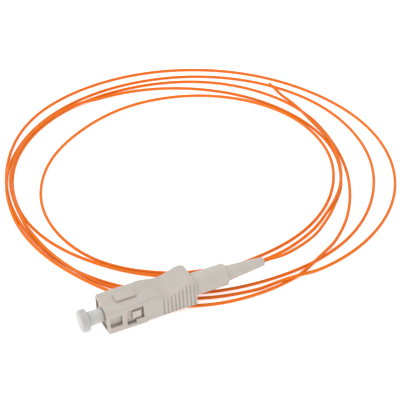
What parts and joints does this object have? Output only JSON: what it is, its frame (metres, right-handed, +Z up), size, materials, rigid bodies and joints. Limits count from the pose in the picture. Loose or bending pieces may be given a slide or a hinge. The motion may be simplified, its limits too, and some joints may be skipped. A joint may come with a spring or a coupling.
{
  "type": "fibre optic pigtail",
  "caption": "Simplex fibre optic pigtail: a beige square push-pull connector with boot and dust cap on a coil of orange 0.9 mm buffered fibre with a bare end.",
  "frame": {"origin": "on the floor, under the middle of the connector (the fibre not counted)", "axes": "+X from the dust cap to the boot's tip, +Y towards the inside of the fibre coil, +Z up"},
  "size_m": [0.1143, 0.1162, 0.0096],
  "materials": {
    "housing_beige": "fine satin moulded",
    "frame_beige": "satin moulded",
    "boot_beige": "matte",
    "cap_white": "translucent satin",
    "ceramic_white": "polished",
    "nickel": "plated",
    "fibre_orange": "satin extruded"
  },
  "bodies": {
    "plug": {"plug_frame": "frame_beige", "crimp_body": "nickel", "ferrule_spring": "nickel", "boot": "boot_beige", "fibre_coil": "fibre_orange", "fibre_lead": "fibre_orange"},
    "grip": {"grip_housing": "housing_beige"},
    "ferrule": {"ferrule": "ceramic_white", "ferrule_flange": "nickel"},
    "cap": {"dust_cap": "cap_white"}
  },
  "joints": [
    {"name": "grip_slide", "type": "slide", "parent": "plug", "child": "grip", "axis": [0.9984, 0, 0.0558], "range_m": [0, 0.0015]},
    {"name": "ferrule_float", "type": "slide", "parent": "plug", "child": "ferrule", "axis": [0.9984, 0, 0.0558], "range_m": [0, 0.0005], "stiffness_N_per_m": 600},
    {"name": "cap_pull", "type": "slide", "parent": "plug", "child": "cap", "axis": [-0.9984, 0, -0.0558], "range_m": [0, 0.007]}
  ]
}
